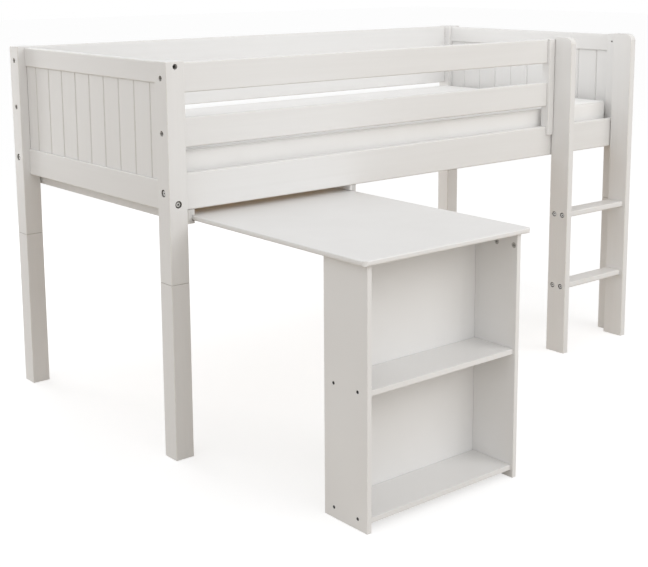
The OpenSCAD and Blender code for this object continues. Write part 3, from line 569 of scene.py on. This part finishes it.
@dataclass
class Occlusion:
    """How closely narrow faces are closed in by the model around them, which sets their painted
    shade.

    Rays go out from a face in all directions, as far as reach. Faces wider than widest are left
    out. On a face that runs farther than long from its middle, the two ends count as well, tried
    at end_share of the way, and closed shares under least are not looked into.
    """

    reach: float = 9 * MM
    widest: float = 12 * MM
    long: float = 25 * MM
    end_share: float = 0.8
    least: float = 0.12
    lift: float = 0.25 * MM
    grazing: float = 0.05
    count: int = 16

    def __post_init__(self) -> None:
        """Lays all rigid nodes into one search tree and spreads the rays over a ball."""
        corners, faces = [], []
        for name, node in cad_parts.items():
            if name != "mattress":
                start = len(corners)
                corners.extend(v.co.copy() for v in node.data.vertices)
                faces.extend([start + i for i in p.vertices] for p in node.data.polygons)
        self.tree = BVHTree.FromPolygons(corners, faces)
        golden_turn = math.pi * (3 - math.sqrt(5))
        self.rays = []
        for i in range(self.count):
            height, turn = 1 - 2 * (i + 0.5) / self.count, i * golden_turn
            width = math.sqrt(1 - height * height)
            self.rays.append(Vector((math.cos(turn) * width, math.sin(turn) * width, height)))

    def share(self, face: bmesh.types.BMFace) -> float:
        """The closed share of the half space over a face, at its most open place.

        Args:
            face: The face.

        Returns:
            The share, 0 for wide faces.
        """
        if face.calc_area() > face.calc_perimeter() * self.widest / 2:
            return 0.0
        centre = face.calc_center_bounds()
        closed = self.share_at(centre, face.normal)
        far = max((v.co for v in face.verts), key=lambda c: (c - centre).length)
        if closed > self.least and (far - centre).length > self.long:
            for end in (far, 2 * centre - far):
                place = centre.lerp(end, self.end_share)
                closed = min(closed, self.share_at(place, face.normal))
        return closed

    def share_at(self, place: Vector, normal: Vector) -> float:
        """The closed share of the half space over a point.

        Args:
            place: The point.
            normal: The direction in which its face looks.

        Returns:
            The share, from 0 to 1.
        """
        start = place + normal * self.lift
        closed = total = 0.0
        for ray in self.rays:
            weight = ray.dot(normal)
            if weight > self.grazing:
                total += weight
                closed += weight * (self.tree.ray_cast(start, ray, self.reach)[0] is not None)
        return closed / total


@dataclass
class Joinery:
    """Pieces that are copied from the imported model, eased and painted."""

    body: Body = Body.BED
    arris: float = 0.8 * MM
    arris_segments: int = 2
    sharp_angle: float = math.radians(35)
    smooth_angle: float = math.radians(40)
    flat_angle: float = math.radians(0.4)
    merge_distance: float = 0.004 * MM
    square: float = 0.995
    flat_weight: int = 100
    pieces: Sequence[Piece] = ()

    def build(self, finishes: "Finishes") -> list[bpy.types.Object]:
        """Copies, eases and dresses every piece."""
        return [self.build_piece(piece, finishes) for piece in self.pieces]

    def build_piece(self, piece: Piece, finishes: "Finishes") -> bpy.types.Object:
        """Copies, eases and dresses one piece.

        Args:
            piece: What is built.
            finishes: The materials.

        Returns:
            The new object.
        """
        bm = self.merged(piece.node)
        self.ease(bm)
        self.mark_arrises(bm)
        self.mark_tones(bm, piece.node)
        self.mark_painted_shade(bm, finishes.occlusion)
        mesh = meshed(bm, piece.name)
        mesh.materials.clear()  # Sets the faces' material numbers back as well.
        mesh.materials.append(finishes.of(piece.slot, piece.axis))
        obj = placed(piece.name, mesh)
        self.shade(obj)
        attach(obj, self.body.value)
        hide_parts(piece.node)
        log.info("%s: %d faces", piece.name, len(mesh.polygons))
        return obj

    def merged(self, node: str) -> bmesh.types.BMesh:
        """A copy of a node's mesh with joined corners and whole flat faces.

        Args:
            node: The node's name.

        Returns:
            The copy.
        """
        bm = bmesh.new()
        bm.from_mesh(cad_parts[node].data)
        for layer in list(bm.loops.layers.uv.values()):
            bm.loops.layers.uv.remove(layer)
        bmesh.ops.remove_doubles(bm, verts=bm.verts, dist=self.merge_distance)
        bmesh.ops.dissolve_degenerate(bm, edges=bm.edges, dist=self.merge_distance)
        bmesh.ops.dissolve_limit(
            bm, angle_limit=self.flat_angle, use_dissolve_boundaries=False,
            verts=bm.verts, edges=bm.edges, delimit={"NORMAL"})
        return bm

    def ease(self, bm: bmesh.types.BMesh) -> None:
        """Rounds the sharp convex edges a little, as sanding does.

        Args:
            bm: The mesh.
        """
        sharp = [e for e in bm.edges if len(e.link_faces) == 2 and e.is_convex
                 and e.calc_face_angle(0) > self.sharp_angle]
        if sharp and self.arris:
            bmesh.ops.bevel(bm, geom=sharp, offset=self.arris, offset_type="OFFSET",
                            segments=self.arris_segments, profile=0.5, affect="EDGES",
                            clamp_overlap=False, material=-1)

    def mark_arrises(self, bm: bmesh.types.BMesh) -> None:
        """Marks the faces that lie square to no axis, where paint is thinner.

        Args:
            bm: The mesh.
        """
        layer = bm.faces.layers.float.new("arris")
        for face in bm.faces:
            face[layer] = float(max(abs(c) for c in face.normal) < self.square)

    def mark_tones(self, bm: bmesh.types.BMesh, name: str) -> None:
        """Gives each separate board of a piece its own tone.

        Args:
            bm: The mesh.
            name: The name that the tones are drawn from.
        """
        layer = bm.faces.layers.float.new("tone")
        draw = random.Random(name)
        left = set(bm.faces)
        for face in bm.faces:
            if face not in left:
                continue
            tone, front = draw.random(), [face]
            left.discard(face)
            while front:
                near = front.pop()
                near[layer] = tone
                for other in (f for edge in near.edges for f in edge.link_faces if f in left):
                    left.discard(other)
                    front.append(other)

    def mark_painted_shade(self, bm: bmesh.types.BMesh, occlusion: Occlusion) -> None:
        """Marks the faces in grooves, joints and holes by how closely they are closed in, for
        painted shade.

        Args:
            bm: The mesh.
            occlusion: The measure.
        """
        layer = bm.faces.layers.float.new("painted_shade")
        for face in bm.faces:
            face[layer] = occlusion.share(face)

    def shade(self, obj: bpy.types.Object) -> None:
        """Shades smooth over roundings and keeps flat faces flat.

        Args:
            obj: The piece.
        """
        obj.data.shade_smooth()
        obj.data.set_sharp_from_angle(angle=self.smooth_angle)
        weighted = obj.modifiers.new("flat_faces", "WEIGHTED_NORMAL")
        weighted.keep_sharp = True
        weighted.weight = self.flat_weight


def finished(names: Iterable[str], slot: Slot, axis: Axis) -> list[Piece]:
    """Pieces that stand for nodes and are named after them."""
    return [Piece(name, f"{name}_finished", slot, axis) for name in names]


@dataclass
class CornerPosts(Joinery):
    """Four posts and the four legs under them."""

    pieces: Sequence[Piece] = field(default_factory=lambda: finished(
        [f"{part}_{side}_{end}" for part in ("post", "leg") for side in ("front", "rear")
         for end in ("left", "right")], Slot.PAINT, Axis.Z))


@dataclass
class SideRails(Joinery):
    """The two side rails and the runners under them."""

    arris: float = 0.6 * MM
    pieces: Sequence[Piece] = field(default_factory=lambda: (
        finished(["side_rail_front", "side_rail_rear"], Slot.PAINT, Axis.X)
        + finished(["runner_left", "runner_right"], Slot.PAINT, Axis.Y)))


@dataclass
class EndPanels(Joinery):
    """The rails and the V-jointed boards at both ends."""

    arris: float = 0.5 * MM
    # Share of painted shade and of rubbed arris kept on faces that look into the bed.
    inner_share: float = 0.1
    inward: float = -0.2
    pieces: Sequence[Piece] = field(default_factory=lambda: (
        finished([f"end_{end}_{part}_rail" for end in ("left", "right")
                  for part in ("top", "bottom")], Slot.PAINT, Axis.Y)
        + finished(["end_left_boards", "end_right_boards"], Slot.BOARDS, Axis.Z)))

    def mark_painted_shade(self, bm: bmesh.types.BMesh, occlusion: Occlusion) -> None:
        """Marks the grooves; on faces that look into the bed the painted shade and the rubbed
        arrises are cut to inner_share.

        Args:
            bm: The mesh.
            occlusion: The measure.
        """
        super().mark_painted_shade(bm, occlusion)
        layers = [bm.faces.layers.float[name] for name in ("painted_shade", "arris")]
        for face in bm.faces:
            if face.normal.x * (face.calc_center_median().x - BED_MIDDLE) < self.inward:
                for layer in layers:
                    face[layer] *= self.inner_share


@dataclass
class Guards(Joinery):
    """The guard boards at the front and rear and the notched upright."""

    arris: float = 0.6 * MM
    pieces: Sequence[Piece] = field(default_factory=lambda: (
        finished(["guard_front_upper", "guard_front_lower", "guard_rear"], Slot.PAINT, Axis.X)
        + finished(["guard_upright"], Slot.PAINT, Axis.Z)))


@dataclass
class Ladder(Joinery):
    """Two stiles and two rungs."""

    arris: float = 0.6 * MM
    pieces: Sequence[Piece] = field(default_factory=lambda: (
        finished(["ladder_stile_left", "ladder_stile_right"], Slot.PAINT, Axis.Z)
        + finished(["ladder_rung_upper", "ladder_rung_lower"], Slot.PAINT, Axis.X)))


@dataclass
class SlattedBase(Joinery):
    """The ledgers and slats of bare pine."""

    arris: float = 0.5 * MM
    arris_segments: int = 1
    pieces: Sequence[Piece] = field(default_factory=lambda: (
        finished(["ledger_front", "ledger_rear"], Slot.PINE, Axis.X)
        + finished(["slats"], Slot.PINE, Axis.Y)
        + finished(["dowels"], Slot.PINE, Axis.X)))


@dataclass
class Desk(Joinery):
    """The sliding desk top and the shelf unit under it."""

    body: Body = Body.DESK
    arris: float = 0.5 * MM
    pieces: Sequence[Piece] = field(default_factory=lambda: finished(
        ["desk_top", "desk_side_left", "desk_side_right", "desk_back",
         "desk_shelf_middle", "desk_shelf_bottom"], Slot.PANEL, Axis.X))


@dataclass
class BedHardware(Joinery):
    """Bolts, screws, nuts and studs of the bed."""

    arris: float = 0.35 * MM
    arris_segments: int = 1
    smooth_angle: float = math.radians(30)
    pieces: Sequence[Piece] = field(default_factory=lambda: (
        finished(["frame_bolts", "barrel_nuts", "leg_studs", "upright_screws", "rung_bolts",
                  "ladder_bolts", "ladder_spacers", "ledger_screws", "slat_screws",
                  "runner_screws"], Slot.ZINC, Axis.Z)
        + finished(["post_screws"], Slot.DARK, Axis.Z)))


@dataclass
class DeskHardware(BedHardware):
    """Cams and screws of the desk."""

    body: Body = Body.DESK
    pieces: Sequence[Piece] = field(default_factory=lambda: (
        finished(["desk_cams", "desk_cam_bolts"], Slot.ZINC, Axis.Z)
        + finished(["desk_screws"], Slot.DARK, Axis.Z)))


# ---------- Mattress ----------


@dataclass
class Mattress:
    """A foam mattress in a woven cover with a corded seam around both faces.

    The cover starts as the foam's shape, smaller than the node's box by slack on each side, and
    the cloth simulation blows it up by swell_cap at most. Its upper side then settles by sunk and
    falls by crown towards its edges; fall_x and fall_y say how late it falls along each side.
    """

    node: str = "mattress"
    slot: Slot = Slot.COVER
    slack: float = 1 * MM
    corner_r: float = 12 * MM
    edge_r: float = 7 * MM
    round_steps: int = 4
    round_angle: float = math.radians(60)
    voxel: float = 10 * MM
    pressure: float = 4.0
    last_frame: int = 20
    cloth_quality: int = 6
    cloth_mass: float = 0.4
    stretch: float = 25
    shear: float = 12
    bend: float = 2
    growth: float = 0.012
    swell_cap: float = 2.5 * MM
    sunk: float = 10.5 * MM
    crown: float = 5 * MM
    fall_x: int = 6
    fall_y: int = 2
    least_rise: float = 0.2 * MM
    cord_r: float = 2.0 * MM
    cord_sink: float = 0.9 * MM
    cord_level: float = 2.0 * MM
    cord_steps: int = 8
    cord_spacing: float = 12 * MM
    cord_start: float = 1.2

    def __post_init__(self) -> None:
        """Takes the mattress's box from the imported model."""
        self.low, self.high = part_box(self.node)
        self.centre = (self.low + self.high) / 2
        self.half = (self.high - self.low) / 2

    def build(self, finishes: "Finishes") -> bpy.types.Object:
        """Sews the cover and its cords.

        Args:
            finishes: The materials.

        Returns:
            The mattress.
        """
        cover = self.cover()
        mattress = self.dressed("mattress_padded", cover, finishes)
        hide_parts(self.node)
        self.dressed("mattress_piping", self.cords(cover), finishes)
        return mattress

    def dressed(self, name: str, mesh: bpy.types.Mesh, finishes: "Finishes") -> bpy.types.Object:
        """Covers a mesh with the cloth and lets it ride on the mattress's body.

        Args:
            name: The piece's name.
            mesh: Its mesh.
            finishes: The materials.

        Returns:
            The piece.
        """
        obj = placed(name, mesh)
        mesh.materials.append(finishes.of(self.slot, Axis.X))
        mesh.shade_smooth()
        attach(obj, Body.MATTRESS.value)
        log.info("%s: %d faces", name, len(mesh.polygons))
        return obj

    def cover(self) -> bpy.types.Mesh:
        """The cover's mesh, blown up over the foam.

        Returns:
            The mesh.
        """
        foam = self.foam()
        surface = BVHTree.FromBMesh(foam)
        start = placed("cover_start", meshed(foam, "cover_start"))
        remesh = start.modifiers.new("remesh", "REMESH")
        remesh.mode = "VOXEL"
        remesh.voxel_size = self.voxel
        start = self.applied(start)
        rest = [v.co.copy() for v in start.data.vertices]
        swollen = self.blown_up(start)
        mesh = start.data
        for vertex, place, moved in zip(mesh.vertices, rest, swollen):
            nearest, outward = surface.find_nearest(place)[:2]
            swell = min(max((moved - place).dot(outward), 0.0), self.swell_cap)
            vertex.co = self.crowned(nearest + outward * swell)
        bpy.data.objects.remove(start)
        mesh.name = "mattress_cover"
        mesh.materials.clear()
        return mesh

    def foam(self) -> bmesh.types.BMesh:
        """The foam block with round corners and edges.

        Returns:
            The block.
        """
        size = self.high - self.low - Vector((2, 2, 2)) * self.slack
        bm = bmesh.new()
        shape = Matrix.Translation(self.centre) @ Matrix.Diagonal((*size, 1))
        bmesh.ops.create_cube(bm, size=1, matrix=shape)
        for radius, upright in ((self.corner_r, True), (self.edge_r, False)):
            edges = [e for e in bm.edges
                     if len(e.link_faces) == 2 and e.calc_face_angle(0) > self.round_angle
                     and (abs(e.verts[0].co.z - e.verts[1].co.z) > MM) == upright]
            bmesh.ops.bevel(bm, geom=edges, offset=radius, offset_type="OFFSET",
                            segments=self.round_steps, profile=0.5, affect="EDGES", material=-1)
        return bm

    def crowned(self, place: Vector) -> Vector:
        """Settles and crowns the upper side and keeps the lower side on the slats.

        Args:
            place: A point of the cover.

        Returns:
            The point in its place.
        """
        off_x = min(1.0, abs(place.x - self.centre.x) / self.half.x)
        off_y = min(1.0, abs(place.y - self.centre.y) / self.half.y)
        level = (1 - off_x ** self.fall_x) * (1 - off_y ** self.fall_y)
        drop = self.sunk + self.crown * (1 - level)
        rise = max(place.z - self.low.z, self.least_rise)
        kept = 1 - drop / (self.high.z - self.low.z)
        return Vector((place.x, place.y, self.low.z + rise * kept))

    def blown_up(self, start: bpy.types.Object) -> list[Vector]:
        """Blows the cover up with a cloth simulation.

        Args:
            start: The cover at rest.

        Returns:
            The places of its points when it is swollen.
        """
        cloth = start.modifiers.new("cloth", "CLOTH")
        settings = cloth.settings
        settings.quality = self.cloth_quality
        settings.mass = self.cloth_mass
        settings.tension_stiffness = settings.compression_stiffness = self.stretch
        settings.shear_stiffness = self.shear
        settings.bending_stiffness = self.bend
        settings.shrink_min = -self.growth
        settings.use_pressure = True
        settings.uniform_pressure_force = self.pressure
        settings.effector_weights.gravity = 0
        scene = bpy.context.scene
        cloth.point_cache.frame_start = 1
        cloth.point_cache.frame_end = self.last_frame
        for number in range(1, self.last_frame + 1):
            scene.frame_set(number)
        graph = bpy.context.evaluated_depsgraph_get()
        places = [v.co.copy() for v in start.evaluated_get(graph).data.vertices]
        start.modifiers.clear()
        scene.frame_set(1)
        return places

    def applied(self, obj: bpy.types.Object) -> bpy.types.Object:
        """The object with its modifiers applied.

        Args:
            obj: The object.

        Returns:
            The same object with its new mesh.
        """
        graph = bpy.context.evaluated_depsgraph_get()
        mesh = bpy.data.meshes.new_from_object(obj.evaluated_get(graph), depsgraph=graph)
        obj.modifiers.clear()
        obj.data = mesh
        return obj

    def cords(self, cover: bpy.types.Mesh) -> bpy.types.Mesh:
        """The two cords, laid on the rounding of the cover's faces.

        Args:
            cover: The cover's mesh.

        Returns:
            The mesh of both cords.
        """
        tree = BVHTree.FromPolygons([v.co for v in cover.vertices],
                                    [p.vertices for p in cover.polygons])
        bm = bmesh.new()
        upper = self.high.z - self.sunk - self.crown - self.cord_level
        for level in (self.low.z + self.edge_r, upper):
            self.sweep(bm, self.cord_path(tree, level))
        return meshed(bm, "mattress_piping")

    def cord_path(self, tree: BVHTree, level: float) -> list[Vector]:
        """Points around the cover at one height, on its surface.

        Args:
            tree: The cover's surface.
            level: The height of the cord.

        Returns:
            The points in one turn.
        """
        count = int(4 * (self.half.x + self.half.y) / self.cord_spacing)
        points = []
        for i in range(count):
            ray = self.outline_point(i / count)
            origin = Vector((self.centre.x + ray.x * self.cord_start,
                             self.centre.y + ray.y * self.cord_start, level))
            inward = Vector((-ray.x, -ray.y, 0)).normalized()
            place, outward = tree.ray_cast(origin, inward)[:2]
            if place is not None:
                points.append(place + outward * (self.cord_r - self.cord_sink))
        return points

    def outline_point(self, share: float) -> Vector:
        """A point on the mattress's outline.

        Args:
            share: How far round the outline, from 0 to 1.

        Returns:
            The point, from the mattress's middle.
        """
        half = self.half
        around = share * 4 * (half.x + half.y)
        for start, step, length in (
                (Vector((-half.x, -half.y)), Vector((1, 0)), 2 * half.x),
                (Vector((half.x, -half.y)), Vector((0, 1)), 2 * half.y),
                (Vector((half.x, half.y)), Vector((-1, 0)), 2 * half.x),
                (Vector((-half.x, half.y)), Vector((0, -1)), 2 * half.y)):
            if around <= length:
                return start + step * around
            around -= length
        return Vector((-half.x, -half.y))

    def sweep(self, bm: bmesh.types.BMesh, path: list[Vector]) -> None:
        """Runs a round section along a closed path.

        Args:
            bm: The mesh that gets the cord.
            path: The points of the path.
        """
        rings = []
        above = Vector((0, 0, 1))
        for i, point in enumerate(path):
            ahead = (path[(i + 1) % len(path)] - path[i - 1]).normalized()
            turn = Matrix((ahead.cross(above).normalized(), above, ahead)).transposed().to_4x4()
            made = bmesh.ops.create_circle(bm, segments=self.cord_steps, radius=self.cord_r,
                                           matrix=Matrix.Translation(point) @ turn)
            rings.append(self.ring_edges(made["verts"]))
        for first, second in zip(rings, rings[1:] + rings[:1]):
            bmesh.ops.bridge_loops(bm, edges=first + second)
        bmesh.ops.recalc_face_normals(bm, faces=bm.faces)

    def ring_edges(self, ring: list[bmesh.types.BMVert]) -> list[bmesh.types.BMEdge]:
        """The edges that join the corners of one ring."""
        return list(dict.fromkeys(edge for vert in ring for edge in vert.link_edges
                                  if edge.other_vert(vert) in ring))


# ---------- All finishes together ----------


class Finishes:
    """Makes each material once, by slot and grain direction."""

    def __init__(self) -> None:
        """Sets the finishes, those with a grain apart from the plain ones."""
        self.made: dict[tuple[Slot, Optional[Axis]], bpy.types.Material] = {}
        self.occlusion = Occlusion()
        self.grained = {
            Slot.PAINT: PaintedWood(),
            Slot.BOARDS: PaintedWood(name="white_boards", tone_share=0.45),
            Slot.PINE: BarePine()}
        self.plain = {
            Slot.PANEL: LacqueredPanel(),
            Slot.ZINC: Steel("zinc_steel", colour=(0.60, 0.585, 0.56, 1),
                             dull=(0.42, 0.41, 0.39, 1), rough=(0.24, 0.4)),
            Slot.DARK: Steel("dark_steel", colour=(0.10, 0.10, 0.10, 1),
                             dull=(0.055, 0.055, 0.055, 1), rough=(0.35, 0.5)),
            Slot.COVER: WovenCover()}

    def of(self, slot: Slot, axis: Axis) -> bpy.types.Material:
        """The material of a slot.

        Args:
            slot: The record's slot.
            axis: The direction of the grain.

        Returns:
            The material, the same one at each call.
        """
        key = (slot, axis if slot in self.grained else None)
        if key not in self.made:
            self.made[key] = (self.grained[slot].material(axis) if slot in self.grained
                              else self.plain[slot].material())
        return self.made[key]


# ---------- Studio ----------


@dataclass
class AreaLamp:
    """A large soft lamp that faces a point."""

    name: str
    place: Triple
    target: Triple
    size: float
    watts: float

    def build(self) -> None:
        """Adds the lamp."""
        data = bpy.data.lights.new(self.name, "AREA")
        data.shape = "SQUARE"
        data.size = self.size
        data.energy = self.watts
        lamp = placed(self.name, data)
        lamp.location = self.place
        lamp.visible_camera = False
        aim = Vector(self.target) - Vector(self.place)
        lamp.rotation_euler = aim.to_track_quat("-Z", "Y").to_euler()


@dataclass
class Studio:
    """The camera, the lamps, the white surroundings and the pale floor."""

    eye: Triple = (-1.9213, -3.0318, 1.4662)
    yaw: float = 39.94
    pitch: float = 10.11
    roll: float = -0.26
    lens: float = 68.56
    sensor: float = 36
    shift: Pair = (-0.0154, -0.15)
    farthest: float = 100
    sky_dim: float = 0.50
    sky_bright: float = 1.22
    sky_side: Triple = (-0.92, -0.39, 0.0)
    sky_falloff: float = 2.0
    floor_size: float = 60.0
    floor_bounce: Colour = (0.48, 0.42, 0.345, 1)
    floor_glow: float = 0.62
    floor_matt: Colour = (0.5, 0.5, 0.5, 1)
    lamps: Sequence[AreaLamp] = field(default_factory=lambda: (
        AreaLamp("key_right", (3.6, -5.2, 4.2), (1.0, 0.3, 0.7), 3.2, 90),
        AreaLamp("key_front", (1.0, -5.5, 3.0), (1.0, 0.3, 0.7), 3.2, 47),
        AreaLamp("fill_rear", (0.1, 3.2, 1.3), (2.0, 0.5, 1.0), 2.0, 36),
        AreaLamp("fill_top", (0.7, 0.5, 3.0), (1.2, 0.45, 0.8), 2.0, 6),
    ))

    def build(self) -> None:
        """Builds everything around the bed."""
        self.camera()
        self.world()
        self.floor()
        for lamp in self.lamps:
            lamp.build()
        bpy.context.scene.view_settings.view_transform = "Standard"

    def camera(self) -> None:
        """Places the camera at the photograph's viewing angle."""
        yaw, pitch, roll = (math.radians(v) for v in (self.yaw, self.pitch, self.roll))
        ahead = Vector((math.sin(yaw) * math.cos(pitch), math.cos(yaw) * math.cos(pitch),
                        -math.sin(pitch)))
        right = Vector((math.cos(yaw), -math.sin(yaw), 0))
        up = right.cross(ahead)
        level = right * math.cos(roll) + up * math.sin(roll)
        upright = up * math.cos(roll) - right * math.sin(roll)
        data = bpy.data.cameras.new("camera")
        data.sensor_width = self.sensor
        data.lens = self.lens
        data.shift_x, data.shift_y = self.shift
        data.clip_end = self.farthest
        camera = placed("camera", data)
        turn = Matrix((level, upright, -ahead)).transposed().to_4x4()
        camera.matrix_world = Matrix.Translation(self.eye) @ turn
        bpy.context.scene.camera = camera

    def world(self) -> None:
        """Soft light, brighter from the front left; the camera and reflections see plain white."""
        world = bpy.data.worlds.new("studio")
        bpy.context.scene.world = world
        world.use_nodes = True
        tree = Nodes(world.node_tree)
        light = tree.add("ShaderNodeBackground", {
            "Color": WHITE, "Strength": self.sky_strength(tree)})
        seen = tree.add("ShaderNodeBackground", {"Color": WHITE})
        self.finish_with(tree, "ShaderNodeOutputWorld", light, seen)

    def sky_strength(self, tree: Nodes) -> bpy.types.NodeSocket:
        """The sky's strength, which rises towards its bright side.

        Args:
            tree: The world's node tree.

        Returns:
            The socket of the strength.
        """
        place = tree.add("ShaderNodeTexCoord").outputs["Generated"]
        facing = tree.add("ShaderNodeVectorMath", {0: place, 1: self.sky_side},
                          operation="DOT_PRODUCT")
        share = tree.spread(facing.outputs["Value"], -1.0, 1.0)
        lobe = tree.math("POWER", share, self.sky_falloff)
        return tree.spread(lobe, 0.0, 1.0, self.sky_dim, self.sky_bright)

    def finish_with(self, tree: Nodes, output: str, lighting: bpy.types.Node,
                    seen: bpy.types.Node) -> None:
        """Ends a tree with one shader for light and another for what is seen.

        Args:
            tree: The node tree.
            output: The type name of the output node.
            lighting: The shader that lights the object.
            seen: The shader for rays from the camera, reflections and glass.
        """
        path = tree.add("ShaderNodeLightPath").outputs
        share = path["Is Camera Ray"]
        for name in ("Is Glossy Ray", "Is Transmission Ray"):
            share = tree.math("MAXIMUM", share, path[name])
        mix = tree.add("ShaderNodeMixShader", {
            0: share, 1: lighting.outputs[0], 2: seen.outputs[0]})
        tree.add(output, {"Surface": mix.outputs[0]})

    def floor(self) -> None:
        """A plain pale floor that keeps the bed's shadow."""
        bm = bmesh.new()
        bmesh.ops.create_grid(bm, x_segments=1, y_segments=1, size=self.floor_size / 2)
        mesh = meshed(bm, "floor")
        material = bpy.data.materials.new("floor")
        material.use_nodes = True
        tree = Nodes(material.node_tree)
        bounce = tree.add("ShaderNodeBsdfDiffuse", {"Color": self.floor_bounce})
        matt = tree.add("ShaderNodeBsdfDiffuse", {"Color": self.floor_matt})
        glow = tree.add("ShaderNodeEmission", {"Strength": self.floor_glow})
        seen = tree.add("ShaderNodeAddShader", {0: matt.outputs[0], 1: glow.outputs[0]})
        self.finish_with(tree, "ShaderNodeOutputMaterial", bounce, seen)
        mesh.materials.append(material)
        placed("floor", mesh)


def main() -> None:
    """Builds the studio and every sub-assembly in order."""
    logging.basicConfig(level=logging.INFO, format="%(name)s %(message)s")
    Studio().build()
    finishes = Finishes()
    for assembly in (CornerPosts(), SideRails(), EndPanels(), Guards(), Ladder(), SlattedBase(),
                     BedHardware(), Desk(), DeskHardware(), Mattress()):
        assembly.build(finishes)
        log.info("%s done", type(assembly).__name__)


if __name__ == "__main__":
    main()
